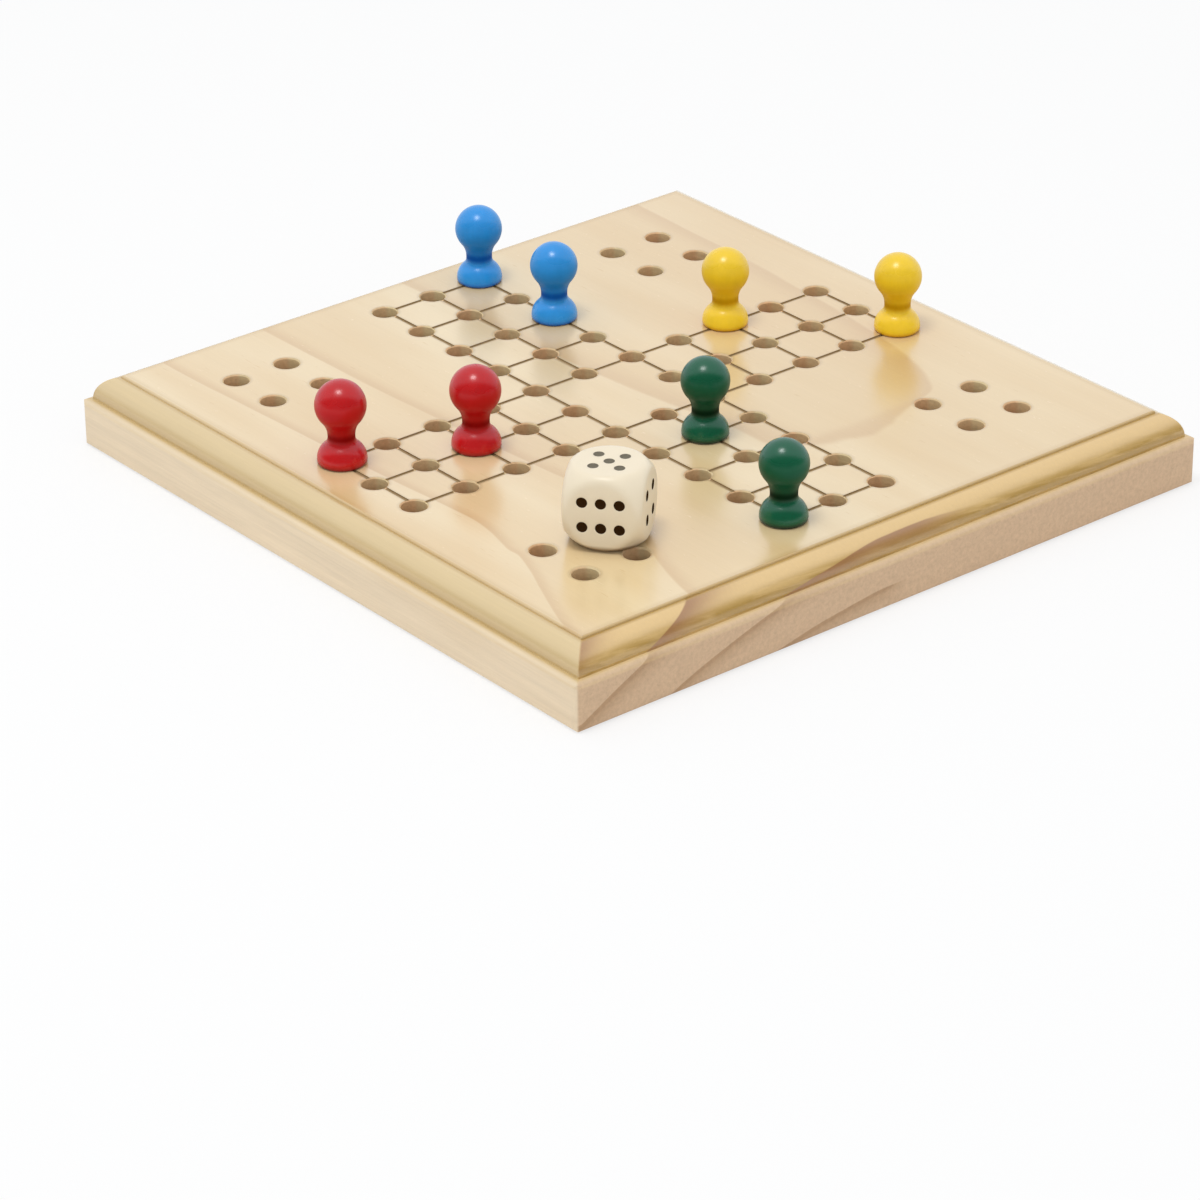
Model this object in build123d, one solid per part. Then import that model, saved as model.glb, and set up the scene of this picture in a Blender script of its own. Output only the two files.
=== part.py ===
from build123d import *
import os
from math import radians, sqrt, tan

# Peg-board ludo set: a solid pine board with a moulded top edge, turned pegs and a die.
# Millimetres. Origin at the centre of the board's underside, +Z up, wood grain along Y.

# Board block and its moulded edge
EDGE_MARGIN = 10.5        # from the last track hole to the rim of the flat top
BOARD_THICKNESS = 14.8
RIM_ROUND = 0.4           # rounding where the flat top ends
QUIRK_DROP = 0.5          # step down from the flat top to the moulding
QUIRK_WIDTH = 0.5         # flat strip at the foot of that step
OVOLO_WIDTH = 3.6         # bead of the moulding, upright at its foot
OVOLO_HEIGHT = 4.7
LEDGE_WIDTH = 1.7         # shelf outside the bead
LEDGE_ROUND = 1.2         # rounding from the shelf to the upright side
CORNER_ROUND = 1.5        # upright corners of the block
BASE_ROUND = 0.7          # rounding along the underside

# Drilled holes
HOLE_PITCH = 12.0
HOLE_DIAMETER = 5.0
HOLE_DEPTH = 8.5          # to the end of the full diameter
HOLE_CHAMFER = 0.25       # sanded mouth
DRILL_POINT_ANGLE = 118.0
ARM_STEPS = 5             # holes from the middle of the cross to the end of an arm
GRID_SHIFT_X = -1.6       # the pattern is drilled a little off the block's centre
GRID_SHIFT_Y = 0.9
HOME_INSET = 23.3         # from the rim of the flat top to the middle of a home group

# Burnt track lines between the holes
LINE_WIDTH = 0.8
LINE_DEPTH = 0.25
LINE_SHIFT_X = 0.4        # the lines sit slightly off the hole centres
LINE_SHIFT_Y = -0.2

# One hole was drilled off its mark, the one under the outer red peg
DRIFT_X = 0.95
DRIFT_Y = -0.8

# Turned pegs
HEAD_RADIUS = 4.7
HEAD_HEIGHT = 11.4        # centre of the ball above the board
RED_HEAD_RADIUS = 4.9     # the two red pegs are a little larger
RED_HEAD_HEIGHT = 11.8
NECK_RADIUS = 2.6
NECK_ARC = 4.5            # radius of the hollow under the ball
FOOT_HOLLOW = 1.8         # radius of the hollow above the foot
FOOT_RADIUS = 4.55        # widest place of the foot
RED_FOOT_RADIUS = 4.75
FOOT_HEIGHT = 0.9         # height of that place
FOOT_ARC = 3.8            # radius of the foot's shoulder
FOOT_ROUND = 0.7          # rounding under the foot
SHANK_CLEARANCE = 0.2     # radial, in its hole
SHANK_TIP_GAP = 1.0       # from the tip to the end of the hole's full diameter
SHANK_CHAMFER = 0.5

# Die
DIE_EDGE = 15.0
DIE_EDGE_CUT = 0.6        # taken off the middle of each edge by the tumbled corners
DIE_ROUND = 1.3           # where the flat faces meet the tumbled corners
PIP_DIAMETER = 2.1
PIP_DEPTH = 0.45
PIP_SPREAD = 2.45         # pip offset from the middle of a face
PIP_COLUMN = 3.45         # offset of the outer columns of the six
DIE_TURN = -52.0          # degrees about Z
DIE_OFFSET_X = 0.9        # from the inner hole of the home that it stands on
DIE_OFFSET_Y = -3.3

# Sizes that follow
HALF_TOP = ARM_STEPS * HOLE_PITCH + EDGE_MARGIN
HALF_SIDE = HALF_TOP + QUIRK_WIDTH + OVOLO_WIDTH + LEDGE_WIDTH
HOLE_RADIUS = HOLE_DIAMETER / 2
HOME_CENTRE = HALF_TOP - HOME_INSET
SHANK_RADIUS = HOLE_RADIUS - SHANK_CLEARANCE
SHANK_LENGTH = HOLE_DEPTH - SHANK_TIP_GAP
OVERCUT = 1.0             # how far cutters stand proud of the surface they cut

# Peg places as steps along X and Y from the middle of the cross
PEG_STEPS = {
    "red_peg_outer": (-ARM_STEPS, 1),
    "red_peg_inner": (-3, 0),
    "blue_peg_outer": (1, ARM_STEPS),
    "blue_peg_inner": (1, 3),
    "yellow_peg_outer": (ARM_STEPS, -1),
    "yellow_peg_inner": (3, 1),
    "green_peg_outer": (-1, -ARM_STEPS),
    "green_peg_inner": (0, -2),
}

# Pips on each face of the die, as steps from the middle of the face
PIP_STEPS = {
    1: [(0, 0)],
    2: [(-1, -1), (1, 1)],
    3: [(-1, -1), (0, 0), (1, 1)],
    4: [(-1, -1), (-1, 1), (1, -1), (1, 1)],
    5: [(-1, -1), (-1, 1), (0, 0), (1, -1), (1, 1)],
    6: [(-1, -1), (-1, 1), (0, -1), (0, 1), (1, -1), (1, 1)],
}
DIE_FACES = {
    1: Plane((0, DIE_EDGE / 2, 0), x_dir=(1, 0, 0), z_dir=(0, 1, 0)),
    2: Plane((0, 0, -DIE_EDGE / 2), x_dir=(1, 0, 0), z_dir=(0, 0, -1)),
    3: Plane((-DIE_EDGE / 2, 0, 0), x_dir=(0, 1, 0), z_dir=(-1, 0, 0)),
    4: Plane((DIE_EDGE / 2, 0, 0), x_dir=(0, 1, 0), z_dir=(1, 0, 0)),
    5: Plane((0, 0, DIE_EDGE / 2), x_dir=(1, 0, 0), z_dir=(0, 0, 1)),
    6: Plane((0, -DIE_EDGE / 2, 0), x_dir=(1, 0, 0), z_dir=(0, -1, 0)),
}


def grid_point(step_x, step_y):
    """A track position on the board, as X and Y."""
    return GRID_SHIFT_X + step_x * HOLE_PITCH, GRID_SHIFT_Y + step_y * HOLE_PITCH


def drilled_point(step_x, step_y):
    """The middle of the hole for a track position."""
    x, y = grid_point(step_x, step_y)
    if (step_x, step_y) == PEG_STEPS["red_peg_outer"]:
        return x + DRIFT_X, y + DRIFT_Y
    return x, y


def track_steps():
    """Every hole of the cross: three rows each way, without the one in the middle."""
    steps = range(-ARM_STEPS, ARM_STEPS + 1)
    return [
        (i, j)
        for i in steps
        for j in steps
        if min(abs(i), abs(j)) <= 1 and (i, j) != (0, 0)
    ]


def home_points(side_x, side_y):
    """The four holes of the home group on the given sides, innermost first."""
    return [
        (
            GRID_SHIFT_X + side_x * (HOME_CENTRE + out_x * HOLE_PITCH / 2),
            GRID_SHIFT_Y + side_y * (HOME_CENTRE + out_y * HOLE_PITCH / 2),
        )
        for out_x in (-1, 1)
        for out_y in (-1, 1)
    ]


def moulded_slab():
    """The board's section with its moulded edges, run along Y for the whole side."""
    quirk_z = BOARD_THICKNESS - QUIRK_DROP
    ledge_z = quirk_z - OVOLO_HEIGHT
    ovolo_x = HALF_TOP + QUIRK_WIDTH
    ovolo_arc = (OVOLO_WIDTH**2 + OVOLO_HEIGHT**2) / (2 * OVOLO_WIDTH)
    base = Line((0, 0), (HALF_SIDE - BASE_ROUND, 0))
    base_arc = RadiusArc(base @ 1, (HALF_SIDE, BASE_ROUND), -BASE_ROUND)
    side = Line(base_arc @ 1, (HALF_SIDE, ledge_z - LEDGE_ROUND))
    ledge_arc = RadiusArc(side @ 1, (HALF_SIDE - LEDGE_ROUND, ledge_z), -LEDGE_ROUND)
    ledge = Line(ledge_arc @ 1, (ovolo_x + OVOLO_WIDTH, ledge_z))
    ovolo = RadiusArc(ledge @ 1, (ovolo_x, quirk_z), -ovolo_arc)
    quirk = Polyline(ovolo @ 1, (HALF_TOP, quirk_z), (HALF_TOP, BOARD_THICKNESS - RIM_ROUND))
    rim = RadiusArc(quirk @ 1, (HALF_TOP - RIM_ROUND, BOARD_THICKNESS), -RIM_ROUND)
    top = Polyline(rim @ 1, (0, BOARD_THICKNESS), (0, 0))
    edge = base + base_arc + side + ledge_arc + ledge + ovolo + quirk + rim + top
    half = make_face(Plane.XZ * edge)
    section = half + mirror(half, about=Plane.YZ)
    return extrude(section, amount=HALF_SIDE, both=True)


def moulded_block():
    """The block with the moulding mitred round all four sides."""
    slab = moulded_slab()
    side = 2 * HALF_SIDE
    outline = extrude(RectangleRounded(side, side, CORNER_ROUND), amount=BOARD_THICKNESS)
    return slab & slab.rotate(Axis.Z, 90) & outline


def hole_cutter():
    """One blind drilled hole with its chamfered mouth at Z = 0."""
    mouth = HOLE_RADIUS + HOLE_CHAMFER
    point = HOLE_RADIUS / tan(radians(DRILL_POINT_ANGLE / 2))
    outline = Polyline(
        (0, OVERCUT),
        (mouth, OVERCUT),
        (mouth, 0),
        (HOLE_RADIUS, -HOLE_CHAMFER),
        (HOLE_RADIUS, -HOLE_DEPTH),
        (0, -HOLE_DEPTH - point),
        close=True,
    )
    return revolve(make_face(Plane.XZ * outline), Axis.Z)


def line_cutter(first, last):
    """A straight track line between two grid steps."""
    x0, y0 = grid_point(*first)
    x1, y1 = grid_point(*last)
    cutter = Box(x1 - x0 + LINE_WIDTH, y1 - y0 + LINE_WIDTH, 2 * LINE_DEPTH)
    middle_x = (x0 + x1) / 2 + LINE_SHIFT_X
    middle_y = (y0 + y1) / 2 + LINE_SHIFT_Y
    return Pos(middle_x, middle_y, BOARD_THICKNESS) * cutter


def track_lines():
    """The cutters for the lines along X and along Y that join neighbouring holes."""
    runs = [((-1, -ARM_STEPS), (-1, ARM_STEPS)), ((1, -ARM_STEPS), (1, ARM_STEPS))]
    runs += [((0, -ARM_STEPS), (0, -1)), ((0, 1), (0, ARM_STEPS))]
    for step in range(2, ARM_STEPS + 1):
        runs += [((-step, -1), (-step, 1)), ((step, -1), (step, 1))]
    turned = [((y0, x0), (y1, x1)) for (x0, y0), (x1, y1) in runs]
    return [line_cutter(first, last) for first, last in runs + turned]


def board():
    """The pine board: moulded block, peg holes and track lines."""
    places = [drilled_point(*step) for step in track_steps()]
    for side_x in (-1, 1):
        for side_y in (-1, 1):
            places += home_points(side_x, side_y)
    cutter = hole_cutter()
    holes = [Pos(x, y, BOARD_THICKNESS) * cutter for x, y in places]
    return moulded_block() - track_lines() - holes


def peg_outline(head_radius, head_height, foot_radius):
    """A peg's turned outline from the shank's tip to the crown, with Z = 0 under the foot."""
    foot = Vector(foot_radius - FOOT_ARC, FOOT_HEIGHT)
    foot_reach = FOOT_ARC + FOOT_HOLLOW
    low_x = NECK_RADIUS + FOOT_HOLLOW
    low = Vector(low_x, FOOT_HEIGHT + sqrt(foot_reach**2 - (low_x - foot.X) ** 2))
    head = Vector(0, head_height)
    head_reach = head_radius + NECK_ARC
    high_x = NECK_RADIUS + NECK_ARC
    high = Vector(high_x, head_height - sqrt(head_reach**2 - high_x**2))

    shank = Polyline(
        (0, -SHANK_LENGTH),
        (SHANK_RADIUS - SHANK_CHAMFER, -SHANK_LENGTH),
        (SHANK_RADIUS, SHANK_CHAMFER - SHANK_LENGTH),
        (SHANK_RADIUS, 0),
        (foot_radius - FOOT_ROUND, 0),
    )
    under = RadiusArc(shank @ 1, (foot_radius, FOOT_ROUND), -FOOT_ROUND)
    side = Line(under @ 1, (foot_radius, FOOT_HEIGHT))
    shoulder_end = foot + (low - foot).normalized() * FOOT_ARC
    shoulder = TangentArc(side @ 1, shoulder_end, tangent=side % 1)
    hollow = TangentArc(shoulder @ 1, (NECK_RADIUS, low.Y), tangent=shoulder % 1)
    neck = Line(hollow @ 1, (NECK_RADIUS, high.Y))
    neck_arc_end = head + (high - head).normalized() * head_radius
    neck_arc = TangentArc(neck @ 1, neck_arc_end, tangent=neck % 1)
    crown = TangentArc(neck_arc @ 1, (0, head_height + head_radius), tangent=neck_arc % 1)
    axis = Line(crown @ 1, shank @ 0)
    return shank + under + side + shoulder + hollow + neck + neck_arc + crown + axis


def turned_peg(head_radius, head_height, foot_radius):
    """A peg with its axis on Z and the underside of its foot at Z = 0."""
    outline = make_face(Plane.XZ * peg_outline(head_radius, head_height, foot_radius))
    return revolve(outline, Axis.Z)


def pips(count):
    """The ball cutters for one face of the die."""
    pip_radius = PIP_DIAMETER / 2
    ball = (pip_radius**2 + PIP_DEPTH**2) / (2 * PIP_DEPTH)
    across = PIP_COLUMN if count == 6 else PIP_SPREAD
    return [
        DIE_FACES[count] * Pos(a * across, b * PIP_SPREAD, ball - PIP_DEPTH) * Sphere(ball)
        for a, b in PIP_STEPS[count]
    ]


def die():
    """The tumbled die with recessed pips, standing on the board by one home hole."""
    ball = Sphere(DIE_EDGE / sqrt(2) - DIE_EDGE_CUT)
    body = Box(DIE_EDGE, DIE_EDGE, DIE_EDGE) & ball
    body = fillet(body.edges().filter_by(GeomType.CIRCLE), DIE_ROUND)
    for count in DIE_FACES:
        body -= pips(count)
    inner_x, inner_y = home_points(-1, -1)[0]
    place = Pos(inner_x + DIE_OFFSET_X, inner_y + DIE_OFFSET_Y, BOARD_THICKNESS + DIE_EDGE / 2)
    return place * Rot(0, 0, DIE_TURN) * body


def main():
    nodes = {"board": board(), "die": die()}
    plain_peg = turned_peg(HEAD_RADIUS, HEAD_HEIGHT, FOOT_RADIUS)
    red_peg = turned_peg(RED_HEAD_RADIUS, RED_HEAD_HEIGHT, RED_FOOT_RADIUS)
    for name, step in PEG_STEPS.items():
        x, y = drilled_point(*step)
        shape = red_peg if name.startswith("red") else plain_peg
        nodes[name] = Pos(x, y, BOARD_THICKNESS) * shape
    os.makedirs("parts", exist_ok=True)
    for name, node in nodes.items():
        export_step(node, f"parts/{name}.step")


main()
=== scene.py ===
import math

import bmesh
import bpy
from mathutils import Matrix, Vector


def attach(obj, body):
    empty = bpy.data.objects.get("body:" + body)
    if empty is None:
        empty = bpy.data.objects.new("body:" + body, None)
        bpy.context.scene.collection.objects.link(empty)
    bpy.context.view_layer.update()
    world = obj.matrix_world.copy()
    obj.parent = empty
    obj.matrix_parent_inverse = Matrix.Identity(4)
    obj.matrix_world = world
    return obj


# Ludo peg board: pine board, eight painted pegs and a die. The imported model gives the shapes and
# this script the finish. Metres for objects, millimetres inside the materials.

MM = 0.001

# Sizes shared with the part's source, in millimetres
TOP_Z = 14.8
HALF_TOP = 70.5
QUIRK_OUTER = 71.0
QUIRK_Z = 14.3
OVOLO_OUTER = 74.6
LEDGE_Z = 9.6
LEDGE_ROUND = 1.2
PITCH = 12.0
GRID_X = -1.6
GRID_Y = 0.9
HOME_FIRST = 41.2
HOLE_RADIUS = 2.5
HOLE_CHAMFER = 0.25
ARM_END = 60.0
DRIFT_AT = (-60.0, 12.0)
DRIFT = (0.95, -0.8)
LINE_SHIFT = (0.4, -0.2)

# Bounds on the cross, in millimetres: half its width, half of its bare middle, half of the square
# round the drifted hole, and how far past an arm's end the holes and the lines still count
CROSS_HALF = 18.0
MIDDLE_HALF = 5.5
DRIFT_REACH = 5.8
HOLE_CLEAR = 5.0
LINE_CLEAR = 1.2

# Sizes of the die, shared with the part's source
DIE_CENTRE = (-41.9, -43.6, TOP_Z + 7.5)
DIE_TURN = -52.0
DIE_EDGE = 15.0
PIP_RADIUS = 1.05
PIP_DEPTH = 0.45
PIP_SPREAD = 2.45
PIP_COLUMN = 3.45

# The film of paint in a pip, and the mesh that it is made of
PAINT_FILM = 0.015
PIP_RINGS = 7
PIP_SIDES = 32

# Camera
CAMERA_PLACE = (-0.54168, -0.65293, 0.41593)
CAMERA_AZIMUTH = -39.2226
CAMERA_ELEVATION = 27.7332
CAMERA_ROLL = -0.5214
CAMERA_LENS = 146.479
SENSOR_WIDTH = 36.0
CLIP_START = 0.05
CLIP_END = 20.0

# Light. The surround is white, but for the dark room on the camera's side as gloss shows it.
WORLD_LIGHT = 0.80
WORLD_TINT = (0.98, 0.99, 1.0, 1.0)
WHITE = (1.0, 1.0, 1.0, 1.0)
BRIGHT_SIDE = (0.45, 0.55, 0.70)
BRIGHT_FROM = 0.05
BRIGHT_FULL = 0.35
GLOSS_TINT = (0.93, 0.99, 1.10, 1.0)
DARK_SIDE_LEVEL = 0.06
KEY_PLACE = (-0.19, -0.03, 0.88)
KEY_WIDTH = 0.28
KEY_POWER = 2.35
FLOOR_HALF = 6.0
FLOOR_Z = -0.0002
FLOOR_GREY = (0.9, 0.9, 0.9, 1.0)
FLOOR_GLOW = 0.7

# Where the board's zones begin, in millimetres, each pair as (none of it, all of it)
CORE_REACH = (HALF_TOP - 0.6, HALF_TOP - 0.7)
INSIDE_REACH = (HALF_TOP + 0.06, HALF_TOP + 0.01)
FLAT_ABOVE = (TOP_Z - 0.04, TOP_Z - 0.01)
CUT_BELOW = (TOP_Z - 0.01, TOP_Z - 0.04)
CUT_ABOVE = (0.2, 0.6)
MOULDED_ABOVE = (LEDGE_Z - LEDGE_ROUND - 0.1, LEDGE_Z - 0.4)
LEDGE_REACH = (OVOLO_OUTER - 0.1, OVOLO_OUTER + 0.3)
LEDGE_BELOW = (LEDGE_Z + 0.3, LEDGE_Z + 0.1)
LEDGE_WORN_REACH = (OVOLO_OUTER + 0.2, OVOLO_OUTER + 1.5)
END_FACE = (-0.4, 0.4)
LACQUERED_ABOVE = (1.0, 2.0)
NEAR_RIM_REACH = (HALF_TOP - 0.8, HALF_TOP - 0.2)
QUIRK_REACH = (QUIRK_OUTER + 0.5, QUIRK_OUTER - 0.1)
QUIRK_ABOVE = (QUIRK_Z - 0.5, QUIRK_Z - 0.2)
RIM_REACH = (HALF_TOP - 2.0, HALF_TOP - 0.3)
BEAD_BELOW = (13.6, 11.0)
BEAD_FOOT = 10.4
BEAD_FOOT_REACH = 1.4
IN_HOLE = (HOLE_RADIUS + HOLE_CHAMFER + 0.07, HOLE_RADIUS + HOLE_CHAMFER + 0.03)
ROUND_HOLE = (HOLE_RADIUS + 1.0, HOLE_RADIUS + 0.2)
ACROSS_GRAIN = (-0.8, 0.8)
DEEP_BELOW = (TOP_Z - 1.0, TOP_Z - 6.0)
ROUND_LINE = (1.0, 0.3)

# Where the top and the end faces change colour, in millimetres along X and Y
RIGHT_SIDE = (10.0, 50.0)
WARM_X = 34.0
WARM_REACH = 44.0
WARM_FRONT = (15.0, -15.0)
RAW_RINGS_LEFT = (3.0, -6.0)
GOLD_RINGS_LEFT = (22.0, 4.0)
GOLD_RINGS_FRONT = (0.0, -60.0)

# Growth rings of the pine, in millimetres. The pith runs along Y, far below the board, and
# bends to the left towards the front end. The stem wavers, which lifts the rings: along Y, from
# -LIFT_END to LIFT_END, LIFT_POINTS gives the share of LIFT_RANGE that is added to LIFT_LOW.
# RINGS_BELOW keeps the count of rings positive.
PITH_X = 28.0
PITH_BEND = 24.0
PITH_DEPTH = 149.3
BEND_Y = (-20.0, -82.0)
BEND_X = (60.0, 10.0)
OUTER_RING_WIDTH = 10.5
INNER_RING_WIDTH = 8.5
LIFT_END = 76.0
LIFT_LOW = -1.9
LIFT_RANGE = 5.2
LIFT_POINTS = [
    (0.0, 0.04), (0.12, 0.22), (0.24, 0.45), (0.27, 0.61), (0.37, 0.74), (0.56, 0.88), (1.0, 1.0),
]
STEM_SWAY = 5.0
RING_WANDER = 0.9
RINGS_BELOW = 20.0

# Shares of a ring's width: late wood and the line at its end come up through the ring and drop
# at its very edge
LATE_RISE = (0.35, 1.0)
LATE_DROP = (1.0, 0.97)
LINE_RISE = (0.86, 0.985)
LINE_DROP = (1.0, 0.98)

# Levels of a noise, which is 0.5 on average, where its patches begin and are full
BROAD_PATCHES = (0.25, 0.75)
RAW_PATCHES = (0.5, 0.8)
RESIN_DASHES = (0.735, 0.80)
STREAKS = (0.36, 0.60)
HOLE_TINTS = (0.4, 0.6)

# Noise in cycles per millimetre along X, Y and Z. Wood is stretched along its grain, which is Y.
SWAY_SCALE = (0.012, 0.006, 0.012)
WANDER_SCALE = (0.05, 0.012, 0.05)
FIBRE_SCALE = (2.2, 0.05, 2.2)
BROAD_SCALE = (0.075, 0.014, 0.075)
SPECKLE_SCALE = (1.1, 0.3, 1.1)
DASH_SCALE = (2.6, 0.22, 2.6)
PLANED_SCALE = (0.1, 0.03, 0.45)
STREAK_SCALE = (0.10, 0.10, 0.8)
STREAK_SLANT = 5.0
HOLE_TINT_SCALE = (0.07, 0.07, 0.0)
TURNED_GRAIN_SCALE = (1.8, 1.8, 0.22)
PAINT_CLOUD_SCALE = (0.35, 0.35, 0.35)
LATHE_SCALE = (0.0, 0.0, 2.4)
DIE_CLOUD_SCALE = (0.25, 0.25, 0.25)
DIE_FINE_SCALE = (3.0, 3.0, 3.0)
PIP_SCALE = (4.0, 4.0, 4.0)

# Heights above the board on a peg, in millimetres, as (none, full) where a change is gradual
# Painted shade lies over the lower ball and waist, in the crease and in a line at the board; painted
# light lies on the foot.
CREASE_HEIGHT = 5.6
CREASE_REACH = 1.3
CONTACT_REACH = 1.3
WAIST_ABOVE = (13.5, 6.5)
WAIST_BELOW = (4.4, 5.6)
HANDLED_ABOVE = (14.0, 11.5)
HANDLED_BELOW = (4.0, 5.5)
FOOT_BELOW = (5.0, 4.0)

# Heights on the die, and how far its edges look rounded
# The die's lowest part gets painted shade, none at the first height and full at the second
CONTACT_SHADE_BELOW = (TOP_Z + 1.7, TOP_Z + 0.5)
TOP_PIPS_ABOVE = (TOP_Z + DIE_EDGE - 1.0, TOP_Z + DIE_EDGE - 0.6)
DIE_SOFTNESS = 1.4
BEVEL_SAMPLES = 8

# Gloss
WOOD_IOR = 1.3
RAW_ROUGHNESS = 0.62
LACQUER_SMOOTHING = 0.36
LACQUER_IOR = 1.75
LACQUER_ROUGHNESS = 0.22
PAINT_IOR = 1.55
PAINT_ROUGHNESS = 0.26
PAINT_SPECULAR = 0.5
DIE_IOR = 1.48
DIE_ROUGHNESS = 0.34
PIP_IOR = 1.15
PIP_ROUGHNESS = 0.6

# Colours as sRGB from 0 to 255
CREAM = (240, 216, 170)
TAN = (227, 194, 138)
LATE = (208, 168, 112)
RAW_CREAM = (239, 219, 189)
RAW_LINE = (216, 188, 150)
RAW_END = (212, 181, 148)
RAW_END_LATE = (184, 150, 116)
GOLD_LONG = (222, 196, 144)
GOLD_END = (229, 193, 129)
# Deep gold for the end grain's heavier lacquer, and also painted shade in the quirk and on the lower
# bead
GOLD_DEEP = (178, 139, 56)
GOLD_LATE = (165, 117, 70)
LEDGE_PALE = (228, 200, 152)
HOLE_SIDE = (222, 202, 158)
HOLE_END = (222, 181, 138)
HOLE_DEEP = (170, 139, 100)
BURNT = (162, 136, 98)
PEG_COLOURS = {
    "red": (192, 2, 8),
    "blue": (38, 146, 224),
    "yellow": (245, 205, 36),
    "green": (2, 88, 57),
}
IVORY = (239, 225, 198)
# Dark brown painted shade round the die's foot
CONTACT_SHADE = (120, 84, 26)
PIP_BLACK = (52, 30, 6)
# A painted sheen that makes the pips on the die's top face paler grey
PIP_TOP_SHEEN = (117, 111, 97)

# Added to a distance where there is nothing near
FAR = 100.0


def linear(colour):
    """Scene-linear RGBA of an sRGB colour given as 0 to 255."""
    parts = [c / 255 for c in colour]
    return (*[c / 12.92 if c <= 0.04045 else ((c + 0.055) / 1.055) ** 2.4 for c in parts], 1.0)


class Field:
    """A number, vector or colour running through a node tree, with arithmetic as Math nodes."""

    def __init__(self, graph, socket):
        self.graph = graph
        self.socket = socket

    def __add__(self, other):
        return self.graph.math("ADD", self, other)

    def __radd__(self, other):
        return self.graph.math("ADD", other, self)

    def __sub__(self, other):
        return self.graph.math("SUBTRACT", self, other)

    def __rsub__(self, other):
        return self.graph.math("SUBTRACT", other, self)

    def __mul__(self, other):
        return self.graph.math("MULTIPLY", self, other)

    def __rmul__(self, other):
        return self.graph.math("MULTIPLY", other, self)

    def __truediv__(self, other):
        return self.graph.math("DIVIDE", self, other)

    def __abs__(self):
        return self.graph.math("ABSOLUTE", self)


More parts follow.
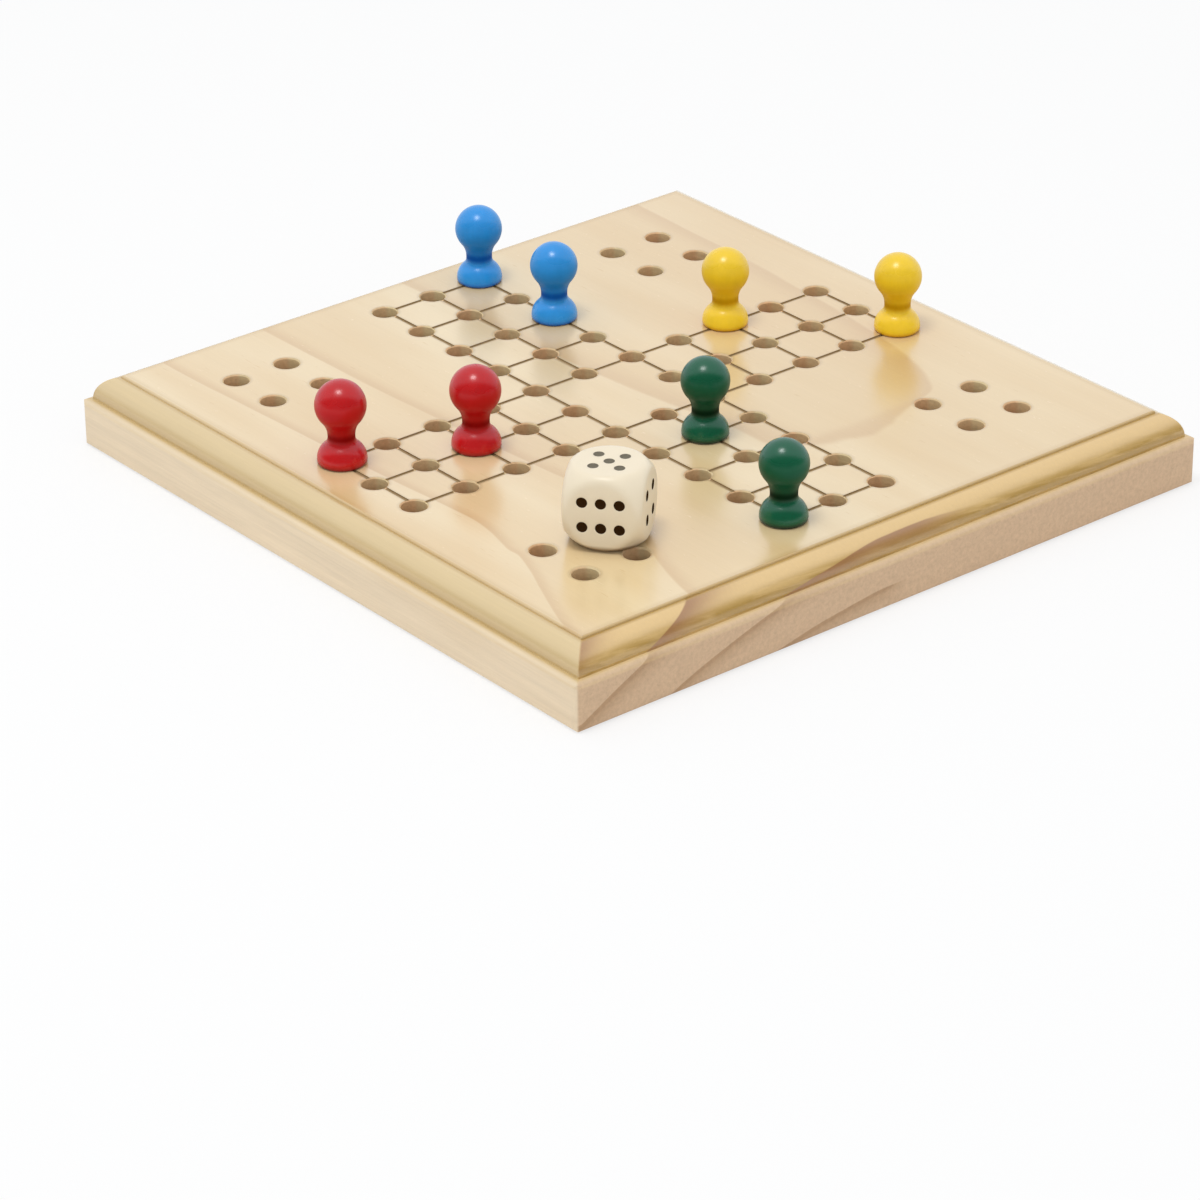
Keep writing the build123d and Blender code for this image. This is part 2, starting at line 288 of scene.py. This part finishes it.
class Graph:
    """The node tree of one new material."""

    def __init__(self, name):
        self.material = bpy.data.materials.new(name)
        self.material.use_nodes = True
        self.tree = self.material.node_tree
        self.tree.nodes.clear()
        self.output = self.tree.nodes.new("ShaderNodeOutputMaterial")

    def node(self, kind, **settings):
        made = self.tree.nodes.new(kind)
        for name, value in settings.items():
            setattr(made, name, value)
        return made

    def feed(self, socket, value):
        if isinstance(value, Field):
            self.tree.links.new(value.socket, socket)
        else:
            socket.default_value = value

    def math(self, operation, *values):
        node = self.node("ShaderNodeMath", operation=operation)
        for socket, value in zip(node.inputs, values):
            self.feed(socket, value)
        return Field(self, node.outputs[0])

    def larger(self, first, second):
        return self.math("MAXIMUM", first, second)

    def smaller(self, first, second):
        return self.math("MINIMUM", first, second)

    def position(self):
        """X, Y and Z in the frame, in millimetres."""
        place = self.node("ShaderNodeTexCoord").outputs["Object"]
        parts = self.node("ShaderNodeSeparateXYZ")
        self.tree.links.new(place, parts.inputs[0])
        return [Field(self, out) * (1 / MM) for out in parts.outputs]

    def noise(self, place, scales, detail=2.0, roughness=0.5, distortion=0.0):
        """Noise from 0 to 1, with 0.5 as its mean, at the scales along X, Y and Z."""
        spot = self.node("ShaderNodeCombineXYZ")
        for socket, value, scale in zip(spot.inputs, place, scales):
            self.feed(socket, value * scale)
        node = self.node("ShaderNodeTexNoise")
        self.tree.links.new(spot.outputs[0], node.inputs["Vector"])
        node.inputs["Scale"].default_value = 1.0
        node.inputs["Detail"].default_value = detail
        node.inputs["Roughness"].default_value = roughness
        node.inputs["Distortion"].default_value = distortion
        return Field(self, node.outputs[0])

    def around(self, level, *swings):
        """The level, with each (noise, amount) swinging it to both sides."""
        for noise, amount in swings:
            level = level + (noise - 0.5) * amount
        return level

    def step(self, value, low, high):
        """0 at low, 1 at high, smooth between them."""
        node = self.node("ShaderNodeMapRange", interpolation_type="SMOOTHSTEP")
        self.feed(node.inputs["Value"], value)
        node.inputs["From Min"].default_value = low
        node.inputs["From Max"].default_value = high
        return Field(self, node.outputs[0])

    def bump_at(self, value, centre, width):
        """1 at the centre, 0 beyond the width on either side."""
        return self.step(abs(value - centre), width, 0.0)

    def curve(self, value, low, high, points):
        """A smooth curve through (share, height) points, with the value scaled from low to high."""
        node = self.node("ShaderNodeFloatCurve")
        line = node.mapping.curves[0]
        for point, (at, height) in zip(line.points, (points[0], points[-1])):
            point.location = (at, height)
        for at, height in points[1:-1]:
            line.points.new(at, height)
        node.mapping.update()
        self.feed(node.inputs["Value"], (value - low) / (high - low))
        return Field(self, node.outputs[0])

    def mix(self, share, first, second):
        node = self.node("ShaderNodeMix", data_type="RGBA")
        self.feed(node.inputs["Factor"], share)
        colours = [s for s in node.inputs if s.type == "RGBA"]
        for socket, value in zip(colours, (first, second)):
            self.feed(socket, linear(value) if isinstance(value, tuple) else value)
        return Field(self, [s for s in node.outputs if s.type == "RGBA"][0])

    def shade(self, colour, amount):
        """The colour times a number."""
        node = self.node("ShaderNodeVectorMath", operation="SCALE")
        self.feed(node.inputs[0], linear(colour)[:3] if isinstance(colour, tuple) else colour)
        self.feed(node.inputs["Scale"], amount)
        return Field(self, node.outputs[0])

    def deepen(self, colour, power):
        """The colour raised to a power, darker and richer in hue."""
        node = self.node("ShaderNodeGamma")
        self.feed(node.inputs["Color"], linear(colour))
        self.feed(node.inputs["Gamma"], power)
        return Field(self, node.outputs[0])

    def softened(self, radius_mm):
        """The normal with every edge rounded off."""
        node = self.node("ShaderNodeBevel", samples=BEVEL_SAMPLES)
        node.inputs["Radius"].default_value = radius_mm * MM
        return Field(self, node.outputs[0])

    def bump(self, height_mm, normal=None):
        """The normal of a surface with this relief."""
        node = self.node("ShaderNodeBump")
        if normal is not None:
            self.feed(node.inputs["Normal"], normal)
        node.inputs["Distance"].default_value = MM
        self.feed(node.inputs["Height"], height_mm)
        return Field(self, node.outputs[0])

    def principled(self, colour, roughness, normal, **plain):
        node = self.node("ShaderNodeBsdfPrincipled")
        self.feed(node.inputs["Base Color"], colour)
        self.feed(node.inputs["Roughness"], roughness)
        self.feed(node.inputs["Normal"], normal)
        for name, value in plain.items():
            node.inputs[name.replace("_", " ")].default_value = value
        self.tree.links.new(node.outputs[0], self.output.inputs["Surface"])
        return node


class Pine(Graph):
    """Flat-sawn pine, lacquered on the top and the moulding and raw on the upright sides."""

    def __init__(self):
        super().__init__("pine_board")
        self.place = self.position()
        self.x, self.y, self.z = self.place
        self.find_zones()
        self.grow_rings()
        self.fibre = self.noise(self.place, FIBRE_SCALE, 4.0, 0.6)
        self.broad = self.noise(self.place, BROAD_SCALE, 2.0, 0.45)
        self.speckle = self.noise(self.place, SPECKLE_SCALE, 4.0, 0.75)

    def find_zones(self):
        """Masks for the parts of the board, each from 0 to 1."""
        z = self.z
        self.reach = self.larger(abs(self.x), abs(self.y))
        core = self.step(self.reach, *CORE_REACH)
        self.inside = self.step(self.reach, *INSIDE_REACH)
        self.flat = core * self.step(z, *FLAT_ABOVE)
        self.cut = core * self.step(z, *CUT_BELOW) * self.step(z, *CUT_ABOVE)
        self.moulded = (1.0 - self.inside) * self.step(z, *MOULDED_ABOVE)
        self.upright = (1.0 - self.inside) * (1.0 - self.moulded)
        self.ledge = self.step(self.reach, *LEDGE_REACH) * self.step(z, *LEDGE_BELOW)
        self.end = self.step(abs(self.y) - abs(self.x), *END_FACE)

    def grow_rings(self):
        """Late wood, darkening through each ring, and the thin line that ends the ring."""
        x, y, z = self.place
        sway = self.noise(self.place, SWAY_SCALE) - 0.5
        wander = self.noise(self.place, WANDER_SCALE, 3.0) - 0.5
        lift = self.curve(y, -LIFT_END, LIFT_END, LIFT_POINTS) * LIFT_RANGE + LIFT_LOW
        bend = PITH_BEND * self.step(y, *BEND_Y) * self.step(x, *BEND_X)
        side = x - PITH_X + bend + sway * STEM_SWAY
        depth = z - TOP_Z + PITH_DEPTH
        radius = self.math("SQRT", side * side + depth * depth) - lift
        past = radius - PITH_DEPTH + wander * RING_WANDER
        outer = self.larger(past, 0.0) / OUTER_RING_WIDTH
        inner = self.smaller(past, 0.0) / INNER_RING_WIDTH
        share = self.math("FRACT", outer + inner + RINGS_BELOW)
        self.late = self.step(share, *LATE_RISE) * self.step(share, *LATE_DROP)
        self.line = self.step(share, *LINE_RISE) * self.step(share, *LINE_DROP)

    def top_wood(self):
        """Lacquered flat-sawn wood with short resin streaks, a little warmer towards the right."""
        right = self.step(self.x, *RIGHT_SIDE)
        warm = self.bump_at(self.x, WARM_X, WARM_REACH) * self.step(self.y, *WARM_FRONT)
        resin = self.step(self.noise(self.place, DASH_SCALE, 1.0), *RESIN_DASHES)
        body = self.mix(self.step(self.broad, *BROAD_PATCHES) * 0.8, CREAM, TAN)
        body = self.mix(right * 0.3 + warm * 0.2, body, TAN)
        body = self.mix(self.late * 0.55, body, TAN)
        body = self.mix(self.line * 0.5, body, LATE)
        body = self.mix(resin * 0.35, body, LATE)
        return self.shade(body, self.around(0.97, (self.fibre, 0.07)) - warm * 0.025)

    def raw_wood(self):
        """Bare wood: planed long grain on two sides and end grain with its rings on the others."""
        side = self.mix(self.step(self.broad, *RAW_PATCHES) * 0.4, RAW_CREAM, RAW_LINE)
        planed = self.noise(self.place, PLANED_SCALE, 3.0, 0.6)
        side = self.shade(side, self.around(0.99, (self.fibre, 0.16), (planed, 0.22)))
        rings = (self.late * self.late * 0.8 + self.line * 0.6) * self.step(self.x, *RAW_RINGS_LEFT)
        end = self.mix(rings, RAW_END, RAW_END_LATE)
        end = self.shade(end, self.around(1.0, (self.speckle, 0.55)))
        return self.mix(self.end, side, end)

    def moulding_wood(self, raw):
        """Lacquered moulding wood, darker on the end grain, which takes more lacquer, with painted
        shade over the lower bead and in the crease at its foot.
        """
        x, y, z = self.place
        low = self.step(z, *BEAD_BELOW)
        foot = self.bump_at(z, BEAD_FOOT, BEAD_FOOT_REACH)
        streak = self.noise((x + z * STREAK_SLANT, y, z), STREAK_SCALE, 4.0, 0.6, 0.3)
        streaked = self.end * low * 0.5 * self.step(streak, *STREAKS)
        # The end grain taking more lacquer is real; the darkening of the lower bead and of the crease
        # at its foot is painted shade
        shade_and_soak = low * (0.12 + self.end * 0.16) + foot * (0.34 + self.end * 0.12) + streaked
        gold = self.mix(shade_and_soak, self.mix(self.end, GOLD_LONG, GOLD_END), GOLD_DEEP)
        ringed = self.step(x, *GOLD_RINGS_LEFT) * (self.step(y, *GOLD_RINGS_FRONT) * 0.6 + 0.35)
        gold = self.mix(self.end * self.late * self.late * ringed, gold, GOLD_LATE)
        gold = self.shade(gold, self.around(0.98, (self.fibre, 0.12)))
        worn = self.step(self.reach, *LEDGE_WORN_REACH)
        gold = self.mix(self.ledge * self.end * 0.8, gold, LEDGE_PALE)
        return self.mix(self.ledge * worn * 0.8, gold, raw)

    def rim_darkening(self):
        """How much darker the quirk and the rim of the flat top are drawn: painted shade in the
        quirk, and a darker band along the rim.
        """
        near_rim = self.step(self.reach, *NEAR_RIM_REACH) * self.step(self.reach, *QUIRK_REACH)
        quirk = near_rim * self.step(self.z, *QUIRK_ABOVE)
        rim = self.step(self.reach, *RIM_REACH) * self.flat
        return quirk * (0.35 + self.end * 0.3) + rim * 0.25

    def nearest_mark(self, along):
        """How far a place on one axis of the cross is past the nearest whole pitch."""
        pitches = along / PITCH
        return (pitches - self.math("ROUND", pitches)) * PITCH

    def hole_offset(self):
        """X and Y from the middle of the nearest peg hole, and 1 where there is none."""
        grid_x = self.x - GRID_X
        grid_y = self.y - GRID_Y
        drifted = self.larger(abs(grid_x - DRIFT_AT[0]), abs(grid_y - DRIFT_AT[1]))
        drifted = self.step(drifted, DRIFT_REACH, DRIFT_REACH - 0.2)
        grid_x = grid_x - drifted * DRIFT[0]
        grid_y = grid_y - drifted * DRIFT[1]
        in_cross = self.math("LESS_THAN", self.smaller(abs(grid_x), abs(grid_y)), CROSS_HALF)
        offsets = []
        for along in (grid_x, grid_y):
            home = abs(abs(along) - HOME_FIRST - PITCH / 2) - PITCH / 2
            offsets.append(home + in_cross * (self.nearest_mark(along) - home))
        farthest = self.larger(abs(grid_x), abs(grid_y))
        beyond = in_cross * self.math("GREATER_THAN", farthest, ARM_END + HOLE_CLEAR)
        middle = self.math("LESS_THAN", farthest, MIDDLE_HALF)
        return (*offsets, self.larger(beyond, middle))

    def line_distance(self):
        """Distance from the middle of the nearest track line, and far where there is none."""
        grid_x = self.x - GRID_X
        grid_y = self.y - GRID_Y
        nearest = self.smaller(abs(grid_x), abs(grid_y))
        farthest = self.larger(abs(grid_x), abs(grid_y))
        from_x = abs(self.nearest_mark(grid_x - LINE_SHIFT[0]))
        from_y = abs(self.nearest_mark(grid_y - LINE_SHIFT[1]))
        outside = self.math("GREATER_THAN", nearest, PITCH + LINE_CLEAR)
        beyond = self.math("GREATER_THAN", farthest, ARM_END + LINE_CLEAR)
        middle = self.math("LESS_THAN", farthest, PITCH - LINE_CLEAR)
        return self.smaller(from_x, from_y) + (outside + beyond + middle) * FAR

    def hole_wood(self, across_grain):
        """The wall of a hole, redder where it cuts across the grain and darker further down."""
        tint = self.noise(self.place, HOLE_TINT_SCALE, 1.0)
        hole = self.mix(across_grain * 0.6 + self.step(tint, *HOLE_TINTS) * 0.4, HOLE_SIDE, HOLE_END)
        hole = self.mix(self.step(self.z, *DEEP_BELOW) * 0.8, hole, HOLE_DEEP)
        return self.shade(hole, self.around(1.0, (self.speckle, 0.5)))

    def add_openings(self, colour):
        """The colour with the holes, the burnt lines and the scorched wood round both."""
        hole_x, hole_y, none = self.hole_offset()
        from_hole = self.math("SQRT", hole_x * hole_x + hole_y * hole_y) + none * FAR
        in_hole = self.step(from_hole, *IN_HOLE)
        across_grain = self.step(abs(hole_y) - abs(hole_x), *ACROSS_GRAIN)
        burnt = self.shade(BURNT, 0.8 + self.fibre * 0.4)
        opening = self.mix(in_hole, burnt, self.hole_wood(across_grain))
        mouth = self.flat * self.step(from_hole, *ROUND_HOLE)
        scorch = self.flat * self.step(self.line_distance(), *ROUND_LINE)
        colour = self.mix(mouth * 0.3 + scorch * 0.4, colour, BURNT)
        return self.mix(self.cut, colour, opening)

    def build(self):
        """The material, with a coat of lacquer over the top and the moulding."""
        raw = self.raw_wood()
        colour = self.mix(self.upright, self.top_wood(), raw)
        colour = self.mix(self.moulded, colour, self.moulding_wood(raw))
        # Painted shade in the quirk and a darker band along the rim of the flat top
        colour = self.mix(self.rim_darkening(), colour, GOLD_DEEP)
        colour = self.add_openings(colour)
        lacquer = self.larger(self.inside * (1.0 - self.cut), self.moulded * (1.0 - self.ledge * 0.6))
        lacquer = lacquer * self.step(self.z, *LACQUERED_ABOVE)
        roughness = self.around(RAW_ROUGHNESS - lacquer * LACQUER_SMOOTHING, (self.speckle, 0.08))
        smooth_relief = (self.fibre - 0.5) * 0.006
        rough_relief = (self.speckle - 0.5) * 0.10 + (self.fibre - 0.5) * 0.04
        relief = smooth_relief * lacquer + rough_relief * (1.0 - lacquer)
        shader = self.principled(
            colour, roughness, self.bump(relief),
            IOR=WOOD_IOR, Coat_IOR=LACQUER_IOR, Coat_Roughness=LACQUER_ROUGHNESS,
        )
        self.feed(shader.inputs["Coat Weight"], lacquer)
        return self.material


def paint(name, colour):
    """Gloss paint over turned wood with faint lathe rings, with painted shade from the waist to the
    crease and at the board, and painted light on the foot.
    """
    g = Graph(name)
    place = g.position()
    height = place[2] - TOP_Z
    grain = g.noise(place, TURNED_GRAIN_SCALE, 3.0, 0.6)
    cloud = g.noise(place, PAINT_CLOUD_SCALE)
    rings = g.noise(place, LATHE_SCALE, 2.0, 0.6)
    waist = g.step(height, *WAIST_ABOVE) * g.step(height, *WAIST_BELOW)
    handled = g.step(height, *HANDLED_ABOVE) * g.step(height, *HANDLED_BELOW)
    foot = g.step(height, *FOOT_BELOW)
    crease = g.bump_at(height, CREASE_HEIGHT, CREASE_REACH)
    contact = g.bump_at(height, 0.0, CONTACT_REACH)
    # Painted shade: the lower ball and waist, the crease and a line at the board are drawn darker,
    # and the paint there is also rougher and duller
    painted_shade = waist * 0.16 + crease * 0.34 + contact * 0.5
    body = g.deepen(colour, 1.0 + painted_shade * 1.2)
    # The foot's shoulder is drawn lighter: painted light
    body = g.shade(body, g.around(0.97, (cloud, 0.16), (grain, 0.10)) + foot * 0.14 - painted_shade * 0.55)
    roughness = g.around(PAINT_ROUGHNESS, (cloud, 0.10)) + painted_shade * 0.3 + handled * 0.10
    relief = (rings - 0.5) * 0.012 + (grain - 0.5) * 0.010 + (cloud - 0.5) * 0.02
    shader = g.principled(body, roughness, g.bump(relief), IOR=PAINT_IOR)
    specular = PAINT_SPECULAR - painted_shade * 0.3 - handled * 0.30
    g.feed(shader.inputs["Specular IOR Level"], specular)
    return g.material


def ivory():
    """Cream die plastic, slightly waxy, with fine tumbling marks and painted shade, dark brown, round
    its foot.
    """
    g = Graph("die_ivory")
    place = g.position()
    cloud = g.noise(place, DIE_CLOUD_SCALE, 3.0)
    fine = g.noise(place, DIE_FINE_SCALE, 3.0, 0.6)
    # Painted shade darkens the die's foot
    body = g.mix(g.step(place[2], *CONTACT_SHADE_BELOW) * 0.85, IVORY, CONTACT_SHADE)
    body = g.shade(body, g.around(0.99, (cloud, 0.06), (fine, 0.03)))
    relief = (fine - 0.5) * 0.006 + (cloud - 0.5) * 0.03
    normal = g.bump(relief, g.softened(DIE_SOFTNESS))
    g.principled(body, g.around(DIE_ROUGHNESS, (fine, 0.15)), normal, IOR=DIE_IOR)
    return g.material


def pip_black():
    """Black paint in the die's pips, with a painted sheen that turns the pips on the top face paler
    grey.
    """
    g = Graph("pip_black")
    place = g.position()
    fine = g.noise(place, PIP_SCALE, 3.0, 0.6)
    # Pips on the top face get a painted sheen
    body = g.mix(g.step(place[2], *TOP_PIPS_ABOVE), PIP_BLACK, PIP_TOP_SHEEN)
    body = g.shade(body, 0.8 + fine * 0.5)
    g.principled(body, g.around(PIP_ROUGHNESS, (fine, 0.3)), g.bump(fine * 0.03), IOR=PIP_IOR)
    return g.material


def face_turns():
    """Each pip count with the turn that brings the +Z face to that side of the die."""
    return {
        1: Matrix.Rotation(math.radians(-90), 4, "X"),
        2: Matrix.Rotation(math.radians(180), 4, "X"),
        3: Matrix.Rotation(math.radians(-90), 4, "Y") @ Matrix.Rotation(math.radians(90), 4, "Z"),
        4: Matrix.Rotation(math.radians(90), 4, "Y") @ Matrix.Rotation(math.radians(90), 4, "Z"),
        5: Matrix.Identity(4),
        6: Matrix.Rotation(math.radians(90), 4, "X"),
    }


def pip_places(count):
    """Pip positions on a face, in millimetres from its middle."""
    corners = [(a, b) for a in (-1, 1) for b in (-1, 1)]
    steps = {
        1: [(0, 0)],
        2: [(-1, -1), (1, 1)],
        3: [(-1, -1), (0, 0), (1, 1)],
        4: corners,
        5: corners + [(0, 0)],
        6: corners + [(0, -1), (0, 1)],
    }[count]
    across = PIP_COLUMN if count == 6 else PIP_SPREAD
    return [(a * across, b * PIP_SPREAD) for a, b in steps]


def line_pip(bm, to_frame, across, along):
    """A cap of a ball just inside the hollow of one pip, added to the mesh."""
    ball = (PIP_RADIUS**2 + PIP_DEPTH**2) / (2 * PIP_DEPTH)
    rise = ball - PIP_DEPTH
    inner = ball - PAINT_FILM
    widest = math.acos(rise / inner)
    centre = Vector((across, along, DIE_EDGE / 2 + rise))
    bottom = bm.verts.new(to_frame @ (centre - Vector((0, 0, inner))) * MM)
    last = None
    for ring in range(1, PIP_RINGS + 1):
        tilt = widest * ring / PIP_RINGS
        outwards = math.sin(tilt)
        row = []
        for side in range(PIP_SIDES):
            angle = 2 * math.pi * side / PIP_SIDES
            out = Vector((math.cos(angle) * outwards, math.sin(angle) * outwards, -math.cos(tilt)))
            row.append(bm.verts.new(to_frame @ (centre + inner * out) * MM))
        for side in range(PIP_SIDES):
            after = (side + 1) % PIP_SIDES
            if last is None:
                bm.faces.new((bottom, row[side], row[after]))
            else:
                bm.faces.new((last[side], row[side], row[after], last[after]))
        last = row


def pip_paint():
    """A film of paint lining every pip's hollow, as one mesh."""
    place = Matrix.Translation(DIE_CENTRE) @ Matrix.Rotation(math.radians(DIE_TURN), 4, "Z")
    bm = bmesh.new()
    for count, turn in face_turns().items():
        for across, along in pip_places(count):
            line_pip(bm, place @ turn, across, along)
    for face in bm.faces:
        face.smooth = True
    mesh = bpy.data.meshes.new("die_pip_paint")
    bm.to_mesh(mesh)
    bm.free()
    piece = bpy.data.objects.new("die_pip_paint", mesh)
    bpy.context.scene.collection.objects.link(piece)
    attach(piece, "die")
    return piece


def set_material(piece, material):
    piece.data.materials.clear()
    piece.data.materials.append(material)


def add_camera():
    data = bpy.data.cameras.new("camera")
    data.lens = CAMERA_LENS
    data.sensor_width = SENSOR_WIDTH
    data.clip_start = CLIP_START
    data.clip_end = CLIP_END
    camera = bpy.data.objects.new("camera", data)
    turn = Matrix.Rotation(math.radians(CAMERA_AZIMUTH), 4, "Z")
    tip = Matrix.Rotation(math.radians(90 - CAMERA_ELEVATION), 4, "X")
    roll = Matrix.Rotation(math.radians(CAMERA_ROLL), 4, "Z")
    camera.matrix_world = Matrix.Translation(CAMERA_PLACE) @ turn @ tip @ roll
    bpy.context.scene.collection.objects.link(camera)
    bpy.context.scene.camera = camera


def seen_ray(tree):
    """1 for rays that show the backdrop: camera, glossy and transmission."""
    path = tree.nodes.new("ShaderNodeLightPath")
    seen = path.outputs["Is Camera Ray"]
    for name in ("Is Glossy Ray", "Is Transmission Ray"):
        either = tree.nodes.new("ShaderNodeMath")
        either.operation = "MAXIMUM"
        tree.links.new(seen, either.inputs[0])
        tree.links.new(path.outputs[name], either.inputs[1])
        seen = either.outputs[0]
    return seen


def background(tree, colour, strength=1.0):
    node = tree.nodes.new("ShaderNodeBackground")
    node.inputs["Color"].default_value = colour
    node.inputs["Strength"].default_value = strength
    return node


def blend_shaders(tree, share, first, second):
    node = tree.nodes.new("ShaderNodeMixShader")
    for socket, output in zip(node.inputs, (share, first.outputs[0], second.outputs[0])):
        tree.links.new(output, socket)
    return node


def add_world():
    """White all round for the camera; gloss sees white behind and above and a dark room in front."""
    world = bpy.data.worlds.new("studio")
    world.use_nodes = True
    bpy.context.scene.world = world
    tree = world.node_tree
    tree.nodes.clear()
    lit = background(tree, WORLD_TINT, WORLD_LIGHT)
    gloss = background(tree, GLOSS_TINT)
    shown = background(tree, WHITE)

    place = tree.nodes.new("ShaderNodeTexCoord")
    towards = tree.nodes.new("ShaderNodeVectorMath")
    towards.operation = "DOT_PRODUCT"
    towards.inputs[1].default_value = BRIGHT_SIDE
    tree.links.new(place.outputs["Generated"], towards.inputs[0])
    level = tree.nodes.new("ShaderNodeMapRange")
    level.interpolation_type = "SMOOTHSTEP"
    level.inputs["From Min"].default_value = BRIGHT_FROM
    level.inputs["From Max"].default_value = BRIGHT_FULL
    level.inputs["To Min"].default_value = DARK_SIDE_LEVEL
    tree.links.new(towards.outputs["Value"], level.inputs["Value"])
    tree.links.new(level.outputs[0], gloss.inputs["Strength"])

    path = tree.nodes.new("ShaderNodeLightPath")
    by_gloss = blend_shaders(tree, path.outputs["Is Glossy Ray"], shown, gloss)
    surround = blend_shaders(tree, seen_ray(tree), lit, by_gloss)
    out = tree.nodes.new("ShaderNodeOutputWorld")
    tree.links.new(surround.outputs[0], out.inputs["Surface"])


def add_lamp(name, place, width, power):
    """A round soft box aimed at the board."""
    data = bpy.data.lights.new(name, "AREA")
    data.shape = "DISK"
    data.size = width
    data.energy = power
    lamp = bpy.data.objects.new(name, data)
    lamp.location = place
    lamp.rotation_mode = "QUATERNION"
    lamp.rotation_quaternion = (-lamp.location).to_track_quat("-Z", "Y")
    bpy.context.scene.collection.objects.link(lamp)


def pale_floor():
    """A pale floor that the camera sees as nearly white, and that keeps some of the shadow."""
    g = Graph("pale_floor")
    lit = g.node("ShaderNodeBsdfDiffuse")
    lit.inputs["Color"].default_value = FLOOR_GREY
    shown = g.node("ShaderNodeEmission")
    shown.inputs["Color"].default_value = WHITE
    shown.inputs["Strength"].default_value = 1.0
    share = Field(g, seen_ray(g.tree)) * FLOOR_GLOW
    mixed = blend_shaders(g.tree, share.socket, lit, shown)
    g.tree.links.new(mixed.outputs[0], g.output.inputs["Surface"])
    return g.material


def add_floor():
    signs = ((-1, -1), (1, -1), (1, 1), (-1, 1))
    corners = [(a * FLOOR_HALF, b * FLOOR_HALF, FLOOR_Z) for a, b in signs]
    mesh = bpy.data.meshes.new("floor")
    mesh.from_pydata(corners, [], [(0, 1, 2, 3)])
    floor = bpy.data.objects.new("floor", mesh)
    bpy.context.scene.collection.objects.link(floor)
    set_material(floor, pale_floor())


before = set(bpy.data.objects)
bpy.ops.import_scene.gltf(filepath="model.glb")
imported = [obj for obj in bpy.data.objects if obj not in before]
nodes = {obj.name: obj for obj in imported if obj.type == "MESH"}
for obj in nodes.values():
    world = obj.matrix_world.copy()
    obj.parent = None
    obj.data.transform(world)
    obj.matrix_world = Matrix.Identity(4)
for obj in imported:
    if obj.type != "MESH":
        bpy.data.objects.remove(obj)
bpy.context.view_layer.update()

add_camera()
add_world()
add_lamp("key", KEY_PLACE, KEY_WIDTH, KEY_POWER)
add_floor()

set_material(nodes["board"], Pine().build())
set_material(nodes["die"], ivory())
set_material(pip_paint(), pip_black())
for tint, colour in PEG_COLOURS.items():
    coat = paint(tint + "_paint", colour)
    for row in ("outer", "inner"):
        set_material(nodes[tint + "_peg_" + row], coat)

bpy.context.scene.view_settings.view_transform = "Standard"
